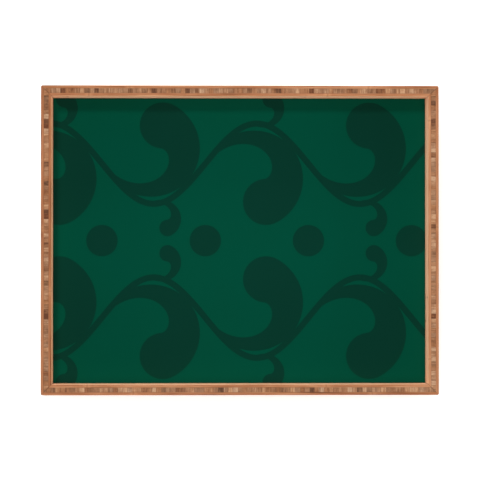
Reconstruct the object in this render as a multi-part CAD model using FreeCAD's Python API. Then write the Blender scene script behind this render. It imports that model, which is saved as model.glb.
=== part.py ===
"""Rectangular bamboo serving tray with a printed metal panel in its floor.

The four walls are lengths of three-ply bamboo board: a lengthwise face ply on each side of a core of
square upright strips, whose end grain makes the chequered line along the rim. The walls are mitred at the
corners, and a hidden spline locks each mitre. A board of edge-glued bamboo strips sits in a groove round
the inside, and the printed aluminium panel is bonded on top of it.

Millimetres. +X along the long side, +Y towards the back wall, +Z up. The origin is the centre of the
rectangle that the tray stands on.
"""
import FreeCAD
import Part
import math
import os

Vector = FreeCAD.Vector

# Tray
TRAY_LENGTH = 450.0
TRAY_WIDTH = 350.0
TRAY_HEIGHT = 45.0
CORNER_RADIUS = 2.0
RIM_ARRIS = 0.8
FOOT_ARRIS = 0.4

# Wall board, from the outside in
FACE_PLY = 3.3
CORE_PLY = 5.4
WALL = FACE_PLY + CORE_PLY + FACE_PLY
FACE_STRIP = 19.0
CORE_STRIP = 5.4
CORE_STRIP_SPREAD = 0.4

# Floor
BASE_UNDERSIDE = 4.0
BASE_THICKNESS = 5.0
BASE_STRIPS = 18
GROOVE_ROOM = 0.1
TONGUE_GAP = 0.3
FILM_THICKNESS = 0.2
FILM_MARGIN = 6.0
PANEL_THICKNESS = 1.0
PANEL_GAP = 0.4

# Spline across each mitre
SPLINE_WIDTH = 8.0
SPLINE_THICKNESS = 2.5
SPLINE_FOOT = 12.0
SPLINE_HEIGHT = 26.0

# Each wall: its name, half its length, its distance from the tray's centre, its turn about +Z from the
# front wall, and how high the lowest seams of its outer and inner face plies are.
WALLS = [
    ("front", TRAY_LENGTH / 2, TRAY_WIDTH / 2, 0, 9.0, 17.0),
    ("right", TRAY_WIDTH / 2, TRAY_LENGTH / 2, 90, 14.0, 22.0),
    ("back", TRAY_LENGTH / 2, TRAY_WIDTH / 2, 180, 12.0, 19.5),
    ("left", TRAY_WIDTH / 2, TRAY_LENGTH / 2, 270, 7.5, 25.0),
]
CORNERS = [("front_right", 1, -1), ("back_right", 1, 1), ("back_left", -1, 1), ("front_left", -1, -1)]


def block(low, high):
    """A box between two corners."""
    low, high = Vector(*low), Vector(*high)
    size = high - low
    return Part.makeBox(size.x, size.y, size.z, low)


def level(edge, height):
    """True for an edge that lies flat at this height."""
    return all(abs(v.Z - height) < 1e-6 for v in edge.Vertexes)


def outer_envelope():
    """The tray's outside as one block, with its corners, rim and foot rounded."""
    half = Vector(TRAY_LENGTH / 2, TRAY_WIDTH / 2, 0)
    body = block((-half.x, -half.y, 0), (half.x, half.y, TRAY_HEIGHT))
    upright = [e for e in body.Edges if abs(e.Vertexes[0].Z - e.Vertexes[1].Z) > 1]
    body = body.makeFillet(CORNER_RADIUS, upright)
    body = body.makeFillet(RIM_ARRIS, [e for e in body.Edges if level(e, TRAY_HEIGHT)])
    return body.makeFillet(FOOT_ARRIS, [e for e in body.Edges if level(e, 0)])


def mitred_bar(half_length, out, depth, low, high):
    """A bar of the front wall between two depths from its outer face and two heights, mitred at its ends."""
    near, far = depth
    corners = [
        Vector(-half_length + near, -out + near, low),
        Vector(half_length - near, -out + near, low),
        Vector(half_length - far, -out + far, low),
        Vector(-half_length + far, -out + far, low),
    ]
    face = Part.Face(Part.makePolygon(corners + corners[:1]))
    return face.extrude(Vector(0, 0, high - low))


def round_inner_edge(bar, out, depth, height, radius):
    """Rounds the bar's straight edge at this depth and height."""
    y = -out + depth
    found = [e for e in bar.Edges if level(e, height) and all(abs(v.Y - y) < 1e-6 for v in e.Vertexes)]
    return bar.makeFillet(radius, found)


def seams(lowest, low, high):
    """The heights at which a face ply's strips begin and end, between two heights."""
    inside = [lowest + FACE_STRIP * i for i in range(-1, 4)]
    return [low] + [z for z in inside if low + 1 < z < high - 1] + [high]


def strips_between(heights, make):
    """One bar for each pair of neighbouring heights."""
    return [make(a, b) for a, b in zip(heights, heights[1:])]


def outer_ply(half_length, out, lowest_seam):
    return strips_between(
        seams(lowest_seam, 0, TRAY_HEIGHT),
        lambda a, b: mitred_bar(half_length, out, (0, FACE_PLY), a, b),
    )


def inner_ply(half_length, out, lowest_seam):
    """The face ply inside the tray. The groove for the floor runs right through it."""
    depth = (FACE_PLY + CORE_PLY, WALL)
    groove_top = BASE_UNDERSIDE + BASE_THICKNESS + GROOVE_ROOM
    lip = mitred_bar(half_length, out, depth, 0, BASE_UNDERSIDE)
    lip = round_inner_edge(lip, out, WALL, 0, FOOT_ARRIS)
    above = strips_between(
        seams(lowest_seam, groove_top, TRAY_HEIGHT),
        lambda a, b: mitred_bar(half_length, out, depth, a, b),
    )
    above[-1] = round_inner_edge(above[-1], out, WALL, TRAY_HEIGHT, RIM_ARRIS)
    return [lip] + above


def core_strips(half_length, out, phase):
    """The core's upright strips. The first and last are half a strip, so that no mitre leaves a splinter."""
    half = half_length - FACE_PLY
    count = round(2 * half / CORE_STRIP)
    pitch = 2 * half / count
    inner = [
        -half + pitch * (i + 0.5) + CORE_STRIP_SPREAD * math.sin(2.4 * i + phase) for i in range(count)
    ]
    cuts = [-half] + inner + [half]
    bar = mitred_bar(half_length, out, (FACE_PLY, FACE_PLY + CORE_PLY), 0, TRAY_HEIGHT)
    low, high = -out + FACE_PLY, -out + FACE_PLY + CORE_PLY
    strips = []
    for a, b in zip(cuts, cuts[1:]):
        strip = block((a, low, 0), (b, high, TRAY_HEIGHT))
        crosses_mitre = max(abs(a), abs(b)) > half - CORE_PLY
        strips.append(strip.common(bar) if crosses_mitre else strip)
    return strips


def corner_spline(sign_x, sign_y):
    """A thin plate set across the mitre, halfway through the wall's thickness."""
    plate = block(
        (-SPLINE_WIDTH / 2, -SPLINE_THICKNESS / 2, SPLINE_FOOT),
        (SPLINE_WIDTH / 2, SPLINE_THICKNESS / 2, SPLINE_FOOT + SPLINE_HEIGHT),
    )
    plate.rotate(Vector(0, 0, 0), Vector(0, 0, 1), -45 * sign_x * sign_y)
    plate.translate(Vector(sign_x * (TRAY_LENGTH / 2 - WALL / 2), sign_y * (TRAY_WIDTH / 2 - WALL / 2), 0))
    return plate


def solids_of(shapes):
    """Every solid in these shapes, with the seams that a cut leaves in flat faces removed."""
    return [solid for shape in shapes for solid in shape.removeSplitter().Solids]


def base_board():
    """Edge-glued strips that run the length of the tray, in the groove all round."""
    reach = FACE_PLY - TONGUE_GAP
    half_x = TRAY_LENGTH / 2 - WALL + reach
    half_y = TRAY_WIDTH / 2 - WALL + reach
    width = 2 * half_y / BASE_STRIPS
    top = BASE_UNDERSIDE + BASE_THICKNESS
    return [
        block((-half_x, -half_y + width * i, BASE_UNDERSIDE), (half_x, -half_y + width * (i + 1), top))
        for i in range(BASE_STRIPS)
    ]


def floor_sheet(margin, low, thickness):
    """A flat sheet this far inside the walls all round."""
    half_x = TRAY_LENGTH / 2 - WALL - margin
    half_y = TRAY_WIDTH / 2 - WALL - margin
    return block((-half_x, -half_y, low), (half_x, half_y, low + thickness))


def build():
    """Every node's name and its solids."""
    nodes = {}
    envelope = outer_envelope()
    splines = {f"{name}_spline": corner_spline(sx, sy) for name, sx, sy in CORNERS}
    for order, (name, half_length, out, turn, outer_seam, inner_seam) in enumerate(WALLS):
        parts = {
            "outer_ply": outer_ply(half_length, out, outer_seam),
            "core_strips": core_strips(half_length, out, phase=order * 1.7),
            "inner_ply": inner_ply(half_length, out, inner_seam),
        }
        for part, pieces in parts.items():
            placed = []
            for piece in pieces:
                piece.rotate(Vector(0, 0, 0), Vector(0, 0, 1), turn)
                if part == "outer_ply":
                    piece = piece.common(envelope)
                for spline in splines.values():
                    if piece.BoundBox.intersect(spline.BoundBox):
                        piece = piece.cut(spline)
                placed.append(piece)
            nodes[f"{name}_wall_{part}"] = solids_of(placed)
    for name, spline in splines.items():
        nodes[name] = [spline]
    base_top = BASE_UNDERSIDE + BASE_THICKNESS
    nodes["base_board"] = base_board()
    nodes["bonding_film"] = [floor_sheet(FILM_MARGIN, base_top, FILM_THICKNESS)]
    nodes["printed_panel"] = [floor_sheet(PANEL_GAP, base_top + FILM_THICKNESS, PANEL_THICKNESS)]
    return nodes


os.makedirs("parts", exist_ok=True)
for node, solids in build().items():
    shape = solids[0] if len(solids) == 1 else Part.makeCompound(solids)
    shape.exportStep(f"parts/{node}.step")
    volume = sum(solid.Volume for solid in solids)
    print(f"{node}: {len(solids)} solids, {volume / 1000:.1f} cm3, valid {all(s.isValid() for s in solids)}")
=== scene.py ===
"""Looks of a rectangular bamboo serving tray: three-ply walls with a chequered rim, and a printed panel.

Every bamboo strip is rebuilt from its own solid in the frame, with its rim rounded and a fine chamfer at
each glue line, so its place and size are the CAD's. The panel's print is two thin films of ink that share
their outlines: a green ground, and darker scrolling leaves. An ornament stroke is what a disc covers while
it travels along a smooth path and its radius changes.

Metres, +X along the long side, +Y towards the back wall, +Z up, the origin under the tray's centre. Sizes
with MM after them are written in millimetres.
"""
import math
import random

import bpy
import numpy as np
from mathutils import Matrix, Vector, geometry


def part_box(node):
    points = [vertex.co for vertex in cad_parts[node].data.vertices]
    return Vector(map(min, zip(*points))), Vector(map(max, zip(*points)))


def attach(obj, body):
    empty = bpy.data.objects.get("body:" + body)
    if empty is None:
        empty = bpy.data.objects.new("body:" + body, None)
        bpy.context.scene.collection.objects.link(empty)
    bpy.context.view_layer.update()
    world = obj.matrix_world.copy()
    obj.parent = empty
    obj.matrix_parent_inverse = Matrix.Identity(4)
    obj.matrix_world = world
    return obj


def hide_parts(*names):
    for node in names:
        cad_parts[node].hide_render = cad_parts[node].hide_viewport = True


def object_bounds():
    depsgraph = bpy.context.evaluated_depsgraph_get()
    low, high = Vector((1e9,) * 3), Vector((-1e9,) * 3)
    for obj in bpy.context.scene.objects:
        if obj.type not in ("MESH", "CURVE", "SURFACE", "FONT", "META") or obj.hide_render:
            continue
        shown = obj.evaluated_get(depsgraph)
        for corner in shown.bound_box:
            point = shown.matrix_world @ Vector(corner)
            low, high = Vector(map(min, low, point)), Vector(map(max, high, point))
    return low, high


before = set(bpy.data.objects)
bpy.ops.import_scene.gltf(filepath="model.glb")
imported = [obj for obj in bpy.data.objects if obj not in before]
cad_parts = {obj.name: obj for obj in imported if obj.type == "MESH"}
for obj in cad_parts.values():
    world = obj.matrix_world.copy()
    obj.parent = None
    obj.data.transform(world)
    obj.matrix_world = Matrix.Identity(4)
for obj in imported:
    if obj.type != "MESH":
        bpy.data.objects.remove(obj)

MM = 0.001
CAD_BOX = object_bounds()
RIM = CAD_BOX[1].z

# Walls, each with its quarter turns about +Z from the front wall
WALLS = {"front": 0, "right": 1, "back": 2, "left": 3}

# How much paler than usual each wall's outer ply, core and inner ply are, as shifts of tone
WALL_TONES = {
    "front": (0.0, 0.05, 0.0),
    "right": (0.32, 0.1, 0.0),
    "back": (-0.24, 0.0, 0.3),
    "left": (-0.36, -0.04, -0.4),
}

# Tones run from 0, dark, to 1, pale. These are the core strips that stand out, counted from 0 at the left
# end of each wall's outside: the dark, the dusky and the pale ones, each kind with its range of tones.
STANDOUT_STRIPS = [
    ((-0.04, 0.06), {
        "front": (37, 56),
        "right": (16, 35, 57, 61),
        "back": (26, 33, 52, 59, 71, 78),
        "left": (7, 8, 26, 27, 48),
    }),
    ((0.22, 0.36), {
        "front": (1, 2, 5, 6, 9, 10, 15, 21, 25, 28, 29, 47, 49, 50, 54, 66, 68, 75),
        "right": (10, 11, 19, 29, 50, 53, 56, 60, 62),
        "back": (11, 12, 17, 18, 39, 50, 55, 64, 73, 76),
        "left": (2, 3, 4, 16, 20, 22, 33, 38, 41, 47, 60),
    }),
    ((0.76, 0.92), {
        "front": (8, 17, 23, 39, 40, 52, 58, 64, 67, 71, 77, 78),
        "right": (4, 7, 17, 26, 31, 37, 45, 51),
        "back": (5, 7, 10, 15, 25, 29, 36, 49, 74, 79),
        "left": (6, 9, 12, 15, 25, 28, 31, 34, 36, 40, 55),
    }),
]
# The range of tones of every other core strip, and of the strips of the plies
PLAIN_CORE = (0.4, 0.7)
PLY_TONES = (0.0, 1.0)

# Rounded edges at the rim and the foot, and the chamfer along a glue line
RIM_ARRIS = 0.4 * MM
FOOT_ARRIS = 0.4 * MM
ARRIS_STEPS = 5
GLUE_CHAMFER = 0.08 * MM
# Faces that meet at a larger angle than this, in degrees, have a sharp edge between them
SHARP_EDGE = 32

# Corners in the frame that agree to this many decimals of a metre are one
FRAME_DECIMALS = 7
# Outline points nearer to each other than this are one, and a smaller bend than this (its sine) is straight
SAME_POINT = 0.05 * MM
STRAIGHT = 0.001
# Outline edges that meet with a smaller bend than this (its sine) are moved in together
IN_LINE = 0.0001
# Which way each kind of outline edge runs, going round anticlockwise with the wall at the front: the outside
# at 0 degrees, an end up or down at 90, a mitre at 135, the inside at 180. Each kind lies below its angle.
EDGE_KINDS = [(50, "outside"), (100, "end"), (170, "mitre"), (181, "inside")]
# Where a narrow strip has no room for the full extra inset, these shares of it are tried in turn
INSET_SHARES = (1.0, 0.6, 0.3, 0.1)
# Each strip takes its grain from its own place, up to this far along each axis of the texture
GRAIN_REACH = 9

# Glue lines, where strips meet side by side and at mitres: how far their shade reaches, and how strong it is
SEAM_FADE = 0.4 * MM
SEAM_SHADE = 0.5
MITRE_FADE = 0.9 * MM
MITRE_SHADE = 0.85
# The inner arris of a wall gets painted shade too, as much as this, to damp the highlight that it catches
INNER_ARRIS_PAINTED_SHADE = 0.12

# Print: the ink's thickness, the points along a leaf or a bend of the stem, and those round a leaf's head
INK = 0.06 * MM
STROKE_STEPS = 36
CAP_STEPS = 18
# The most that a stroke's radius may change for each length along its path
STEEPEST_TAPER = 0.95
# Print points nearer to each other than this, in millimetres, are one
PRINT_TOUCHING = 0.0001

# The studio floor is square. It lies just under the tray's foot, so that no two faces are in one plane.
FLOOR_WIDTH = 5.0
FLOOR_HEIGHT = -0.1 * MM

# Lamps: azimuth and elevation in degrees, distance and width in metres, the brightness that the lamp alone
# would give a white floor, where 1 is white in the picture, and whether gloss shows the lamp. Azimuth 0 is in
# front of the tray, and 90 to its right. A lamp that gloss doesn't show is cross-polarised.
LAMPS = {
    "key_back": (208, 60.5, 3.1, 0.41, 0.34, False),
    "overhead": (0, 87, 3.7, 1.6, 0.37, False),
    "low_back": (180, 12, 2.8, 0.8, 0.11, True),
    "low_left": (-90, 12, 2.8, 0.8, 0.056, True),
    "low_right": (90, 12, 2.8, 0.8, 0.085, True),
    "low_front": (0, 12, 2.8, 0.8, 0.07, True),
}
# The light from all round is this strong at the horizon, and falls to nothing overhead by this power
TENT_STRENGTH = 2.2
TENT_FALL = 2.0

# Camera: its height above the rim, the point that it stands over, the point of the rim's plane that it looks
# at, and how wide it sees there
CAMERA_HEIGHT = 3.0
CAMERA_STAND = (-0.075, -0.038)
AIM = (-0.0002, 0.0003)
VIEW_WIDTH = 0.5425
SENSOR = 36
NEAREST_SEEN = 0.1
FURTHEST_SEEN = 20


# ---------------------------------------------------------------- strips

def solids_of(node):
    """The points of each solid in a CAD node. A solid ends where its faces so far close."""
    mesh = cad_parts[node].data
    solids, points, open_edges = [], set(), set()
    for polygon in mesh.polygons:
        corners = [tuple(round(c, FRAME_DECIMALS) for c in mesh.vertices[i].co) for i in polygon.vertices]
        points.update(corners)
        for a, b in zip(corners, corners[1:] + corners[:1]):
            if (b, a) in open_edges:
                open_edges.remove((b, a))
            else:
                open_edges.add((a, b))
        if not open_edges:
            solids.append(sorted(points))
            points = set()
    return solids


def turned(x, y, quarters):
    """A plan point turned about +Z by so many quarter turns."""
    for _ in range(quarters % 4):
        x, y = -y, x
    return x, y


def plan_outline(points, quarters):
    """The convex outline of a solid seen from above, anticlockwise, with its wall turned to the front."""
    flat = sorted({turned(x, y, -quarters) for x, y, z in points})
    hull = [Vector(flat[i]) for i in geometry.convex_hull_2d([Vector(p) for p in flat])]
    area = sum(a.x * b.y - b.x * a.y for a, b in zip(hull, hull[1:] + hull[:1]))
    if area < 0:
        hull.reverse()
    hull = [p for i, p in enumerate(hull) if (p - hull[i - 1]).length > SAME_POINT]
    kept = []
    for i, p in enumerate(hull):
        before, after = p - hull[i - 1], hull[(i + 1) % len(hull)] - p
        if abs(before.normalized().cross(after.normalized())) > STRAIGHT:
            kept.append(p)
    return kept


def edge_kind(a, b):
    """What an outline edge is: outside, inside, a mitre, or an end that meets the next strip."""
    angle = abs(math.degrees(math.atan2(b.y - a.y, b.x - a.x)))
    return next(kind for below, kind in EDGE_KINDS if angle < below)


def with_end_points(outline, reach):
    """The outline with a point this far from each end of its long edges, to keep a seam's shade near it."""
    points = []
    for a, b in zip(outline, outline[1:] + outline[:1]):
        points.append(a)
        if (b - a).length > 4 * reach:
            step = (b - a).normalized() * reach
            points += [a + step, b - step]
    return points


def inset(outline, distances):
    """The outline with each edge moved in by its own distance."""
    moved = []
    count = len(outline)
    for i in range(count):
        before, here, after = outline[i - 1], outline[i], outline[(i + 1) % count]
        d1, d2 = (here - before).normalized(), (after - here).normalized()
        n1 = Vector((-d1.y, d1.x))
        m1, m2 = distances[i - 1], distances[i]
        cross = d1.cross(d2)
        if abs(cross) < IN_LINE:
            moved.append(here + n1 * (m1 + m2) / 2)
        else:
            # Where the two moved edges cross
            moved.append(here + (d2 * m1 - d1 * m2) / cross)
    return moved


def inset_as_far(outline, distances, extra):
    """The outline with its edges moved in, and again by as much of the extra distances as leaves it sound."""
    edges = list(zip(outline, outline[1:] + outline[:1]))
    for share in INSET_SHARES:
        moved = inset(outline, [d + e * share for d, e in zip(distances, extra)])
        if all((b - a).dot(q - p) > 0 for (a, b), p, q in zip(edges, moved, moved[1:] + moved[:1])):
            return moved
    return inset(outline, distances)


class StripMesh:
    """Gathers the strips of one piece into a mesh, with what its material reads from each."""

    def __init__(self):
        self.points, self.faces = [], []
        self.values = {"grain": [], "tone": [], "hue": [], "skin": [], "glue_line_and_shade": [], "broad": []}

    def add(self, rings, look):
        """Adds a closed strip. Each ring is a height, its points, and their shades."""
        size = len(rings[0][1])
        base = len(self.points)
        for height, ring, shades in rings:
            for point, (glue_line_and_shade, broad) in zip(ring, shades):
                world, *own = look(point.x, point.y, height)
                self.points.append(world)
                for name, value in zip(self.values, (*own, glue_line_and_shade, broad)):
                    self.values[name].append(value)
        for level in range(len(rings) - 1):
            low, high = base + level * size, base + (level + 1) * size
            for i in range(size):
                j = (i + 1) % size
                self.faces.append((low + i, low + j, high + j, high + i))
        top = base + (len(rings) - 1) * size
        self.faces.append(tuple(base + i for i in reversed(range(size))))
        self.faces.append(tuple(top + i for i in range(size)))

    def build(self, name, material):
        """The finished piece."""
        mesh = bpy.data.meshes.new(name)
        mesh.from_pydata(self.points, [], self.faces)
        for label, values in self.values.items():
            array = np.array(values, np.float32)
            kind, field = ("FLOAT_VECTOR", "vector") if array.ndim == 2 else ("FLOAT", "value")
            layer = mesh.attributes.new(label, kind, "POINT")
            layer.data.foreach_set(field, array.ravel())
        mesh.materials.append(material)
        mesh.shade_smooth()
        mesh.set_sharp_from_angle(angle=math.radians(SHARP_EDGE))
        mesh.update()
        piece = bpy.data.objects.new(name, mesh)
        bpy.context.scene.collection.objects.link(piece)
        weighted = piece.modifiers.new("flat_faces_stay_flat", "WEIGHTED_NORMAL")
        weighted.keep_sharp = True
        return piece


def round_inset(radius, depth):
    """How far in a rounded edge is at this depth below the face that it runs into."""
    if depth >= radius:
        return 0.0
    return radius - math.sqrt(radius**2 - (radius - depth) ** 2)


def end_depths(radius):
    """The depths below a strip's end at which its outline or shade changes. A square end has no radius."""
    depths = {0.0, GLUE_CHAMFER, SEAM_FADE}
    if radius:
        turns = [math.pi / 2 * k / ARRIS_STEPS for k in range(ARRIS_STEPS)]
        depths.update(radius * (1 - math.sin(turn)) for turn in turns)
    return sorted(depths)


def strip_rings(outline, low, high, exposed, foot_radius, rim_radius):
    """Rings of points from the middle of a strip's foot to the middle of its top, and each point's shades.

    Only the exposed side is seen. Its edge is rounded at an end that has a radius, and every other edge has
    the fine chamfer of a glue line. The shades are how much glue line shows, with painted shade on an inner
    arris, and how much of the broad face.
    """
    sides = [edge_kind(a, b) for a, b in zip(outline, outline[1:] + outline[:1])]
    strengths = {"mitre": MITRE_SHADE, exposed: 0.0}
    fades = [MITRE_FADE if side == "mitre" else SEAM_FADE for side in sides]

    def distances(radius, depth):
        chamfer = max(0.0, GLUE_CHAMFER - depth)
        return [round_inset(radius, depth) if side == exposed and radius else chamfer for side in sides]

    def shades(radius, depth):
        values = []
        for i in range(len(sides)):
            pair = (sides[i - 1], sides[i])
            glue_line_and_shade = max(strengths.get(side, SEAM_SHADE) for side in pair)
            # Painted shade on the inner arris, to damp the highlight that the arris catches
            if exposed == "inside" and exposed in pair and depth < radius:
                glue_line_and_shade = max(glue_line_and_shade, INNER_ARRIS_PAINTED_SHADE)
            if not radius and depth < SEAM_FADE:
                glue_line_and_shade = max(glue_line_and_shade, SEAM_SHADE)
            broad = exposed in pair and (not radius or depth >= radius)
            values.append((glue_line_and_shade, float(broad)))
        return values

    rings = []
    for end, radius, up in ((low, foot_radius, 1), (high, rim_radius, -1)):
        middle = inset_as_far(outline, distances(radius, 0.0), fades)
        part = [(end, middle, [(0.0, 0.0)] * len(sides))]
        for depth in end_depths(radius):
            part.append((end + up * depth, inset(outline, distances(radius, depth)), shades(radius, depth)))
        rings += part if up > 0 else reversed(part)
    return rings


def strip_look(rng, fibres, outline, quarters, tone):
    """A function from a point of a strip, with its wall at the front, to its true place and its look.

    The look is where the point is in the grain, the strip's tone and hue, and how near the skin side it is.
    """
    offset = Vector([rng.uniform(0, GRAIN_REACH) for _ in range(3)])
    hue = rng.random()
    axis, sign = rng.choice(((0, 1), (0, -1), (1, 1), (1, -1)))
    start, end = min(p[axis] for p in outline), max(p[axis] for p in outline)

    def look(x, y, z):
        along = Vector((x, z, y)) if fibres == "lengthwise" else Vector((z, x, y))
        share = ((x, y)[axis] - start) / (end - start)
        skin = share if sign > 0 else 1 - share
        return (*turned(x, y, quarters), z), tuple(along + offset), tone, hue, skin

    return look


def core_tones(wall, count):
    """The range of tones for each of so many core strips in a wall."""
    ranges = [PLAIN_CORE] * count
    for span, walls in STANDOUT_STRIPS:
        for number in walls[wall]:
            ranges[number] = span
    return ranges


def strips_piece(name, node, material, fibres, exposed="", quarters=0, core_of="", shift=0.0):
    """One Blender piece of all the strips in a CAD node.

    Its exposed side, if it has one, is rounded at the rim and the foot. core_of is the wall that it is the
    core of, if any, and shift makes all of it paler.
    """
    rng = random.Random(name)
    made = StripMesh()
    strips = []
    for points in solids_of(node):
        strips.append((plan_outline(points, quarters), min(p[2] for p in points), max(p[2] for p in points)))
    strips.sort(key=lambda strip: (round(min(p.x for p in strip[0]) / MM), strip[1]))
    ranges = core_tones(core_of, len(strips)) if core_of else [PLY_TONES] * len(strips)
    for (outline, low, high), span in zip(strips, ranges):
        foot = FOOT_ARRIS if exposed and low < FOOT_ARRIS else 0
        rim = RIM_ARRIS if exposed and high > RIM - RIM_ARRIS else 0
        look = strip_look(rng, fibres, outline, quarters, rng.uniform(*span) + shift)
        if fibres == "lengthwise":
            outline = with_end_points(outline, MITRE_FADE)
        made.add(strip_rings(outline, low, high, exposed, foot, rim), look)
    piece = made.build(name, material)
    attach(piece, "root")
    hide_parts(node)
    return piece


# ---------------------------------------------------------------- print

# The ornament is a running scroll in two rows, each the mirror image of the other: a waving stem, with a
# large leaf curled into every bend and a small one turned away from it. A line of discs lies between the
# rows. Lengths are in millimetres, and angles in degrees.
WAVE_LENGTH = 236
WAVE_HEIGHT = 46
STEM_RADIUS = 3.5
# How far each row is from the panel's middle, and how far the ornament is shifted to the right
ROW_DISTANCE = 88
SHIFT = 20
# The leaves of an upward bend: the x and y of the point that a leaf curls round, from the bend's place on its
# row's middle line, the angle that its tail is at, the angle that it turns through, how far its tail and its
# head are from the point, and the radius of its head
LEAVES = [
    (2, -16, 167, -240, 62.6, 29, 26.5),
    (13, 64, 228, 205, 25, 10, 9.5),
]
TAIL_RADIUS = 1
DISC_RADIUS = 18


def curl(x, y, start, sweep, tail_reach, head_reach, head_radius):
    """A leaf's path, from its tail to its head: rows of x, y and the travelling disc's radius."""
    share = np.linspace(0, 1, STROKE_STEPS)
    turn = np.radians(start + sweep * share)
    reach = head_reach + (tail_reach - head_reach) * (1 - share) ** 2
    radius = TAIL_RADIUS + (head_radius - TAIL_RADIUS) * share
    return np.stack([x + reach * np.cos(turn), y + reach * np.sin(turn), radius], axis=1)


def stem(bends):
    """A stem's path, with this many bends to either side of its middle, which is an upward one."""
    place = np.linspace(-bends, bends, 2 * bends * STROKE_STEPS + 1)
    height = WAVE_HEIGHT * np.cos(math.pi * place)
    return np.stack([place * WAVE_LENGTH / 2, height, np.full(len(place), STEM_RADIUS)], axis=1)


def ornament(half_width):
    """The paths of the strokes, and the discs as x, y and radius, of an ornament wider than the panel."""
    spacing = WAVE_LENGTH / 2
    bends = math.ceil((half_width + SHIFT) / spacing) + 1
    strokes = []
    for row in (1, -1):
        strokes.append(stem(bends) * (1, row, 1) + (SHIFT, row * ROW_DISTANCE, 0))
        for bend in range(-bends, bends + 1):
            upward = row * (1, -1)[bend % 2]
            middle = (SHIFT + bend * spacing, row * ROW_DISTANCE, 0)
            strokes += [curl(*leaf) * (1, upward, 1) + middle for leaf in LEAVES]
    discs = [(SHIFT + (bend + 0.5) * spacing, 0, DISC_RADIUS) for bend in range(-bends, bends)]
    return strokes, discs


def stroke_outline(path):
    """The outline of what a disc covers as it travels along a path, round at its head."""
    centres, radii = path[:, :2], path[:, 2]
    steps = np.gradient(centres, axis=0)
    lengths = np.linalg.norm(steps, axis=1)
    ahead = steps / lengths[:, None]
    left = np.stack([-ahead[:, 1], ahead[:, 0]], axis=1)
    back = np.clip(np.gradient(radii) / lengths, -STEEPEST_TAPER, STEEPEST_TAPER)
    across = np.sqrt(1 - back**2)
    reach_back = -ahead * (radii * back)[:, None]
    reach_out = left * (radii * across)[:, None]
    left_side = centres + reach_back + reach_out
    right_side = centres + reach_back - reach_out
    heading = math.atan2(ahead[-1][1], ahead[-1][0])
    half = math.pi - math.acos(back[-1])
    turns = [heading - half + 2 * half * k / CAP_STEPS for k in range(1, CAP_STEPS)]
    head = [centres[-1] + radii[-1] * np.array([math.cos(a), math.sin(a)]) for a in turns]
    return [tuple(q) for q in [*right_side, *head, *left_side[::-1]]]


def in_stroke(points, path):
    """For each point, whether the stroke covers it."""
    inside = np.zeros(len(points), bool)
    for a, b in zip(path, path[1:]):
        run = b[:2] - a[:2]
        t = np.clip((points - a[:2]) @ run / (run @ run), 0, 1)
        gaps = np.linalg.norm(points - (a[:2] + t[:, None] * run), axis=1)
        inside |= gaps < a[2] + (b[2] - a[2]) * t
    return inside


def disc_outline(x, y, radius):
    """The outline of a whole disc."""
    turns = [2 * math.pi * k / (3 * CAP_STEPS) for k in range(3 * CAP_STEPS)]
    return [(x + radius * math.cos(a), y + radius * math.sin(a)) for a in turns]


def panel_corners(low, high):
    """The corners of the panel in plan, anticlockwise."""
    return [(low.x, low.y), (high.x, low.y), (high.x, high.y), (low.x, high.y)]


def print_areas(low, high):
    """The panel's face as points, in metres, and its triangles, split into ground and ornament."""
    corners = [(x / MM, y / MM) for x, y in panel_corners(low, high)]
    strokes, discs = ornament(high.x / MM)
    loops = [corners] + [stroke_outline(s) for s in strokes] + [disc_outline(*d) for d in discs]
    points, edges = [], []
    for loop in loops:
        start = len(points)
        points += [Vector(p) for p in loop]
        edges += [(start + i, start + (i + 1) % len(loop)) for i in range(len(loop))]
    found = geometry.delaunay_2d_cdt(points, edges, [], 0, PRINT_TOUCHING)
    flat = np.array([tuple(v) for v in found[0]])
    triangles = np.array([tuple(f) for f in found[2]])
    middles = flat[triangles].mean(axis=1)
    on_panel = (np.abs(middles) < np.array(corners[2])).all(axis=1)
    dark = np.zeros(len(middles), bool)
    for path in strokes:
        dark |= in_stroke(middles, path)
    for x, y, radius in discs:
        dark |= np.hypot(middles[:, 0] - x, middles[:, 1] - y) < radius
    return flat * MM, triangles[on_panel & ~dark], triangles[on_panel & dark]


def film(name, flat, triangles, low, high, material):
    """A closed sheet with these triangles as its face, between two heights."""
    used = sorted(set(triangles.ravel()))
    index = {v: i for i, v in enumerate(used)}
    count = len(used)
    points = [(*flat[v], z) for z in (low, high) for v in used]
    faces, edges = [], []
    for triangle in triangles:
        a, b, c = (index[v] for v in triangle)
        faces += [(a + count, b + count, c + count), (c, b, a)]
        edges += [(a, b), (b, c), (c, a)]
    shared = set(edges)
    for a, b in edges:
        if (b, a) not in shared:
            faces.append((a, b, b + count, a + count))
    mesh = bpy.data.meshes.new(name)
    mesh.from_pydata(points, [], faces)
    mesh.materials.append(material)
    piece = bpy.data.objects.new(name, mesh)
    bpy.context.scene.collection.objects.link(piece)
    return piece


def panel_pieces(sheet_material, ground_material, ornament_material):
    """The metal sheet and the two films of ink on it, which together stand for the CAD's panel."""
    low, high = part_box("printed_panel")
    flat, ground, ornament = print_areas(low, high)
    face = high.z - INK
    outline = [Vector(c) for c in panel_corners(low, high)]
    chamfer = GLUE_CHAMFER
    levels = ((low.z, chamfer), (low.z + chamfer, 0), (face - chamfer, 0), (face, chamfer))
    rings = [(z, inset(outline, [step] * 4), [(0.0, 0.0)] * 4) for z, step in levels]
    sheet = StripMesh()
    sheet.add(rings, lambda x, y, z: ((x, y, z), (x, y, z), 0.5, 0.5, 0.5))
    made = [
        sheet.build("panel_sheet", sheet_material),
        film("print_ground", flat, ground, face, high.z, ground_material),
        film("print_ornament", flat, ornament, face, high.z, ornament_material),
    ]
    for piece in made:
        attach(piece, "root")
        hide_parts("printed_panel")


# ---------------------------------------------------------------- materials

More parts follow.
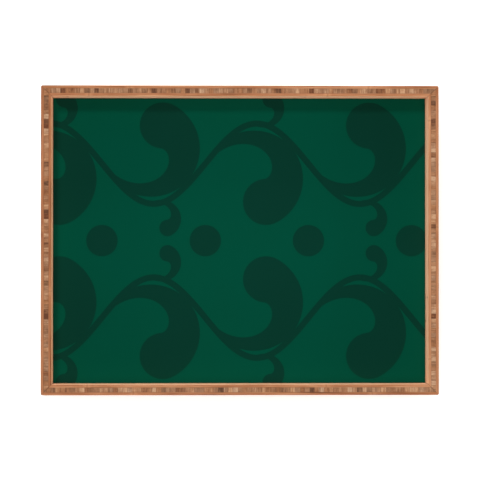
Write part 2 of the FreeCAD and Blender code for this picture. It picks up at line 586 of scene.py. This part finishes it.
def linear(red, green, blue):
    """A colour as seen on a screen, 0 to 255, as the light that it stands for."""
    shares = [c / 255 for c in (red, green, blue)]
    return tuple(c / 12.92 if c <= 0.04045 else ((c + 0.055) / 1.055) ** 2.4 for c in shares) + (1.0,)


def ramp_stops(*rows):
    """The stops of a colour ramp, from rows of a position and the red, green and blue seen there."""
    return [(position, linear(*colour)) for position, *colour in rows]


# Bamboo's ramps of colour: along the fibres on the rim, on the outer faces and on the inner faces, and across
# the fibres in warm and in grey strips. The inner faces' ramp is much paler: painted light, standing in for
# the light that those faces catch.
RIM_STOPS = ramp_stops(
    (0.0, 106, 60, 35), (0.35, 149, 94, 60), (0.6, 163, 107, 71), (1.0, 187, 135, 98)
)
OUTER_FACE_STOPS = ramp_stops(
    (0.0, 138, 88, 54), (0.35, 166, 114, 78), (0.6, 178, 127, 90), (1.0, 196, 151, 114)
)
INNER_FACE_PAINTED_LIGHT_STOPS = ramp_stops(
    (0.0, 206, 142, 98), (0.35, 228, 170, 128), (0.6, 234, 180, 140), (1.0, 242, 198, 162)
)
WARM_END_STOPS = ramp_stops(
    (0.0, 94, 54, 34), (0.3, 130, 84, 54), (0.5, 146, 98, 65), (0.7, 158, 111, 77), (1.0, 184, 141, 105)
)
GREY_END_STOPS = ramp_stops(
    (0.0, 84, 56, 39), (0.3, 121, 86, 61), (0.5, 137, 100, 74), (0.7, 151, 114, 87), (1.0, 181, 145, 115)
)
METAL_STOPS = ramp_stops((0.3, 196, 198, 200), (0.7, 222, 223, 224))

# Bamboo's knuckles are this far apart. Each is a dark line with a pale halo, and each of the two fades from
# full strength to nothing between these distances from its middle.
KNUCKLE_SPACING = 0.27
KNUCKLE_LINE = (0.3 * MM, 1.6 * MM)
KNUCKLE_HALO = (1 * MM, 6 * MM)
# The fibres sway up to this far to either side of straight
FIBRE_SWAY = 0.8 * MM


class Look:
    """A material and short ways to add nodes to it. Most methods return the socket that they make."""

    def __init__(self, name, **settings):
        self.material = bpy.data.materials.new(name)
        self.material.use_nodes = True
        self.tree = self.material.node_tree
        self.shader = self.tree.nodes["Principled BSDF"]
        for label, value in settings.items():
            self.shader.inputs[label.replace("_", " ")].default_value = value

    def node(self, kind, **settings):
        """A new node, and not one of its sockets."""
        made = self.tree.nodes.new(kind)
        for label, value in settings.items():
            setattr(made, label, value)
        return made

    def put(self, socket, value):
        """Links another socket to this one, or sets this one to a constant."""
        if isinstance(value, bpy.types.NodeSocket):
            self.tree.links.new(value, socket)
        else:
            socket.default_value = value

    def attribute(self, name, output):
        return self.node("ShaderNodeAttribute", attribute_name=name).outputs[output]

    def maths(self, operation, *values, clamp=False):
        made = self.node("ShaderNodeMath", operation=operation, use_clamp=clamp)
        for socket, value in zip(made.inputs, values):
            self.put(socket, value)
        return made.outputs[0]

    def stretched(self, vector, scale):
        made = self.node("ShaderNodeVectorMath", operation="MULTIPLY")
        self.put(made.inputs[0], vector)
        self.put(made.inputs[1], scale)
        return made.outputs[0]

    def moved(self, vector, offset):
        made = self.node("ShaderNodeVectorMath", operation="ADD")
        self.put(made.inputs[0], vector)
        self.put(made.inputs[1], offset)
        return made.outputs[0]

    def noise(self, vector, scale, detail=2.0, roughness=0.5):
        """Noise from 0 to 1, with this many cells in a metre."""
        made = self.node("ShaderNodeTexNoise")
        self.put(made.inputs["Vector"], vector)
        made.inputs["Scale"].default_value = scale
        made.inputs["Detail"].default_value = detail
        made.inputs["Roughness"].default_value = roughness
        return made.outputs["Fac"]

    def streaks(self, vector, along, across, detail=2.0, roughness=0.5):
        """Noise with this many cells in a metre along the fibres, and this many across them."""
        return self.noise(self.stretched(vector, (along, across, across)), 1.0, detail, roughness)

    def span(self, value, low, high, to_low=0.0, to_high=1.0):
        """The value mapped from one range to another, and held there."""
        made = self.node("ShaderNodeMapRange")
        self.put(made.inputs["Value"], value)
        for label, end in zip(("From Min", "From Max", "To Min", "To Max"), (low, high, to_low, to_high)):
            self.put(made.inputs[label], end)
        return made.outputs["Result"]

    def swing(self, noise, amount):
        """Noise as a swing about 0 of up to this much either way."""
        return self.span(noise, 0.25, 0.75, -amount, amount)

    def ramp(self, value, stops):
        made = self.node("ShaderNodeValToRGB")
        self.put(made.inputs["Fac"], value)
        elements = made.color_ramp.elements
        while len(elements) < len(stops):
            elements.new(0.5)
        for element, (position, colour) in zip(elements, stops):
            element.position = position
            element.color = colour
        return made.outputs["Color"]

    def mix(self, share, first, second):
        """This share of the second colour over the first, on the node's sockets for colours."""
        made = self.node("ShaderNodeMix", data_type="RGBA")
        self.put(made.inputs[0], share)
        self.put(made.inputs[6], first)
        self.put(made.inputs[7], second)
        return made.outputs[2]

    def bump(self, height, distance, strength):
        made = self.node("ShaderNodeBump")
        self.put(made.inputs["Height"], height)
        made.inputs["Distance"].default_value = distance
        made.inputs["Strength"].default_value = strength
        self.put(self.shader.inputs["Normal"], made.outputs["Normal"])

    def set(self, label, value):
        self.put(self.shader.inputs[label], value)


def long_grain(name, face_stops, from_strips=True):
    """Bamboo seen along its fibres: fine streaks, slow changes of tone, and a knuckle now and then."""
    look = Look(name, Specular_IOR_Level=0.35)
    if from_strips:
        grain = look.attribute("grain", "Vector")
        tone, glue_line_and_shade, broad = (look.attribute(a, "Fac") for a in ("tone", "glue_line_and_shade", "broad"))
    else:
        grain = look.node("ShaderNodeTexCoord").outputs["Object"]
        tone, glue_line_and_shade, broad = 0.5, 0.0, 0.0
    sway = look.maths("MULTIPLY_ADD", look.streaks(grain, 6.0, 60.0), 2 * FIBRE_SWAY, -FIBRE_SWAY)
    bend = look.node("ShaderNodeCombineXYZ")
    look.put(bend.inputs[1], sway)
    look.put(bend.inputs[2], sway)
    fibres = look.moved(grain, bend.outputs[0])
    slow = look.streaks(grain, 11.0, 160.0, 1.0)
    bands = look.streaks(fibres, 14.0, 620.0)
    coarse = look.streaks(fibres, 24.0, 1500.0)
    fine = look.streaks(fibres, 90.0, 4200.0, 3.0, 0.6)

    value = look.span(tone, -1.0, 2.0, -0.1, 1.1)
    for layer, amount in ((slow, 0.14), (bands, 0.32), (coarse, 0.4), (fine, 0.24)):
        value = look.maths("ADD", value, look.swing(layer, amount))
    # A broad face takes its face ramp; on the inner faces that ramp is painted light
    colour = look.mix(broad, look.ramp(value, RIM_STOPS), look.ramp(value, face_stops))

    split = look.node("ShaderNodeSeparateXYZ")
    look.put(split.inputs[0], grain)
    place = look.maths("ADD", split.outputs[0], look.maths("MULTIPLY", coarse, 0.0025))
    from_knuckle = look.maths("PINGPONG", place, KNUCKLE_SPACING / 2)
    knuckle = look.span(from_knuckle, *KNUCKLE_LINE, 1.0, 0.0)
    halo = look.span(from_knuckle, *KNUCKLE_HALO, 1.0, 0.0)
    colour = look.mix(look.maths("MULTIPLY", halo, 0.25), colour, linear(214, 160, 116))
    colour = look.mix(look.maths("MULTIPLY", knuckle, 0.4), colour, linear(120, 68, 40))
    # Dark glue lines, and painted shade on the inner arris
    colour = look.mix(look.maths("MULTIPLY", glue_line_and_shade, 0.8), colour, linear(84, 44, 26))
    look.set("Base Color", colour)
    look.set("Roughness", look.span(fine, 0.3, 0.7, 0.4, 0.52))
    look.bump(look.maths("ADD", look.maths("MULTIPLY", fine, 0.6), coarse), 0.04 * MM, 0.5)
    return look.material


def end_grain(name):
    """Bamboo cut across its fibres: rows of dark bundle ends, larger towards the skin side of the strip."""
    look = Look(name, Specular_IOR_Level=0.3)
    grain = look.attribute("grain", "Vector")
    tone, hue, glue_line_and_shade, skin = (look.attribute(a, "Fac") for a in ("tone", "hue", "glue_line_and_shade", "skin"))
    bundles = look.node("ShaderNodeTexVoronoi")
    look.put(bundles.inputs["Vector"], look.stretched(grain, (20.0, 2100.0, 2100.0)))
    bundles.inputs["Scale"].default_value = 1.0
    radius = look.span(skin, 0.0, 1.0, 0.16, 0.42)
    dots = look.span(bundles.outputs["Distance"], look.maths("SUBTRACT", radius, 0.12), radius, 1.0, 0.0)
    rows = look.noise(look.stretched(grain, (20.0, 900.0, 70.0)), 1.0)
    mottle = look.streaks(grain, 20.0, 420.0, 3.0)

    value = look.maths("ADD", tone, look.swing(mottle, 0.14))
    value = look.maths("ADD", value, look.swing(rows, 0.3))
    value = look.maths("ADD", value, look.span(skin, 0.0, 1.0, 0.07, -0.07))
    colour = look.mix(hue, look.ramp(value, WARM_END_STOPS), look.ramp(value, GREY_END_STOPS))
    colour = look.mix(look.maths("MULTIPLY", dots, 0.4), colour, linear(104, 62, 40))
    colour = look.mix(look.maths("MULTIPLY", glue_line_and_shade, 0.7), colour, linear(84, 48, 30))
    look.set("Base Color", colour)
    look.set("Roughness", look.span(mottle, 0.3, 0.7, 0.46, 0.58))
    look.bump(look.maths("SUBTRACT", rows, dots), 0.03 * MM, 0.4)
    return look.material


def ink(name, colour, paler):
    """Flat enamel ink on metal: nearly even, with a faint mottle and a soft sheen."""
    look = Look(name, Specular_IOR_Level=0.04)
    place = look.node("ShaderNodeTexCoord").outputs["Object"]
    cloud = look.noise(place, 16.0, 3.0)
    speck = look.noise(place, 1900.0)
    value = look.span(cloud, 0.3, 0.7, 0.1, 0.55)
    value = look.maths("ADD", value, look.span(speck, 0.35, 0.65, 0.0, 0.35))
    look.set("Base Color", look.mix(value, colour, paler))
    look.set("Roughness", look.span(cloud, 0.3, 0.7, 0.34, 0.42))
    look.bump(speck, 0.006 * MM, 0.3)
    return look.material


def brushed_metal(name):
    """Aluminium with fine lengthwise brush marks."""
    look = Look(name, Metallic=1.0)
    place = look.node("ShaderNodeTexCoord").outputs["Object"]
    marks = look.streaks(place, 30.0, 6000.0, 3.0)
    look.set("Base Color", look.ramp(marks, METAL_STOPS))
    look.set("Roughness", look.span(marks, 0.3, 0.7, 0.28, 0.42))
    return look.material


def glue_film(name):
    """A milky double-sided film."""
    look = Look(name)
    place = look.node("ShaderNodeTexCoord").outputs["Object"]
    cloud = look.noise(place, 60.0, 3.0)
    look.set("Base Color", look.mix(cloud, linear(226, 220, 204), linear(240, 236, 226)))
    look.set("Roughness", look.span(cloud, 0.3, 0.7, 0.5, 0.65))
    return look.material


def studio_floor(name):
    """Matt white paper that glows a little, so that it is nearly white in the picture."""
    look = Look(name, Specular_IOR_Level=0.1, Emission_Color=(1.0, 1.0, 1.0, 1.0), Emission_Strength=0.32)
    place = look.node("ShaderNodeTexCoord").outputs["Object"]
    cloud = look.noise(place, 1.5)
    look.set("Base Color", look.mix(cloud, linear(243, 243, 242), linear(246, 246, 246)))
    look.set("Roughness", look.span(cloud, 0.3, 0.7, 0.7, 0.8))
    return look.material


# ---------------------------------------------------------------- scene

def build_tray():
    outside = long_grain("bamboo_long_grain", OUTER_FACE_STOPS)
    # The inner plies' faces take the paler ramp, which is painted light
    inside = long_grain("bamboo_painted_light_long_grain", INNER_FACE_PAINTED_LIGHT_STOPS)
    core = end_grain("bamboo_end_grain")
    for wall, turn in WALLS.items():
        outer_shift, core_shift, inner_shift = WALL_TONES[wall]
        outer = strips_piece(
            f"{wall}_outer_ply", f"{wall}_wall_outer_ply", outside, "lengthwise",
            exposed="outside", quarters=turn, shift=outer_shift,
        )
        middle = strips_piece(
            f"{wall}_core", f"{wall}_wall_core_strips", core, "upright",
            quarters=turn, core_of=wall, shift=core_shift,
        )
        inner = strips_piece(
            f"{wall}_inner_ply", f"{wall}_wall_inner_ply", inside, "lengthwise",
            exposed="inside", quarters=turn, shift=inner_shift,
        )
    floor_boards = strips_piece("floor_boards", "base_board", outside, "lengthwise")
    panel_pieces(
        brushed_metal("aluminium"),
        ink("ink_ground", linear(0, 65, 47), linear(0, 67, 50)),
        ink("ink_ornament", linear(4, 48, 36), linear(6, 50, 39)),
    )
    spline = long_grain("bamboo_spline_grain", OUTER_FACE_STOPS, from_strips=False)
    film_look = glue_film("bonding_film_milky")
    for name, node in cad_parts.items():
        if name.endswith("_spline"):
            node.data.materials[0] = spline
        if name == "bonding_film":
            node.data.materials[0] = film_look


def build_stage():
    mesh = bpy.data.meshes.new("studio_floor")
    half = FLOOR_WIDTH / 2
    corners = [(x, y, FLOOR_HEIGHT) for x, y in ((-half, -half), (half, -half), (half, half), (-half, half))]
    mesh.from_pydata(corners, [], [(0, 1, 2, 3)])
    mesh.materials.append(studio_floor("studio_floor_pale"))
    floor = bpy.data.objects.new("studio_floor", mesh)
    bpy.context.scene.collection.objects.link(floor)


def softbox(name, azimuth, elevation, distance, width, share, glare):
    """A square lamp that faces the tray's centre, as LAMPS describes it."""
    a, e = math.radians(azimuth), math.radians(elevation)
    away = Vector((math.sin(a) * math.cos(e), -math.cos(a) * math.cos(e), math.sin(e)))
    lamp = bpy.data.lights.new(name, "AREA")
    lamp.size = width
    lamp.energy = share * (math.pi * distance) ** 2 / math.sin(e)
    holder = bpy.data.objects.new(name, lamp)
    holder.location = away * distance
    holder.visible_glossy = glare
    holder.rotation_mode = "QUATERNION"
    holder.rotation_quaternion = away.to_track_quat("Z", "Y")
    bpy.context.scene.collection.objects.link(holder)


def build_tent():
    """Soft light from all round: bright near the floor, and dim overhead, where gloss would show it."""
    world = bpy.data.worlds.new("studio_tent")
    world.use_nodes = True
    nodes, links = world.node_tree.nodes, world.node_tree.links
    direction = nodes.new("ShaderNodeTexCoord")
    split = nodes.new("ShaderNodeSeparateXYZ")
    below_top = nodes.new("ShaderNodeMath")
    below_top.operation = "SUBTRACT"
    below_top.use_clamp = True
    below_top.inputs[0].default_value = 1.0
    fall = nodes.new("ShaderNodeMath")
    fall.operation = "POWER"
    fall.inputs[1].default_value = TENT_FALL
    scaled = nodes.new("ShaderNodeMath")
    scaled.operation = "MULTIPLY"
    scaled.inputs[1].default_value = TENT_STRENGTH
    links.new(direction.outputs["Generated"], split.inputs[0])
    links.new(split.outputs["Z"], below_top.inputs[1])
    links.new(below_top.outputs[0], fall.inputs[0])
    links.new(fall.outputs[0], scaled.inputs[0])
    links.new(scaled.outputs[0], nodes["Background"].inputs["Strength"])
    nodes["Background"].inputs["Color"].default_value = (1.0, 1.0, 1.0, 1.0)
    bpy.context.scene.world = world


def build_light():
    for name, settings in LAMPS.items():
        softbox(name, *settings)
    build_tent()
    bpy.context.scene.view_settings.view_transform = "Standard"


def build_camera():
    lens = bpy.data.cameras.new("camera")
    lens.sensor_width = SENSOR
    camera = bpy.data.objects.new("camera", lens)
    place = Vector((*CAMERA_STAND, RIM + CAMERA_HEIGHT))
    back = place - Vector((*AIM, RIM))
    lens.lens = SENSOR * back.length / VIEW_WIDTH
    lens.clip_start = NEAREST_SEEN
    lens.clip_end = FURTHEST_SEEN
    back.normalize()
    right = Vector((0, 1, 0)).cross(back).normalized()
    up = back.cross(right)
    camera.matrix_world = Matrix.Translation(place) @ Matrix((right, up, back)).transposed().to_4x4()
    bpy.context.scene.collection.objects.link(camera)
    bpy.context.scene.camera = camera


build_tray()
build_stage()
build_light()
build_camera()
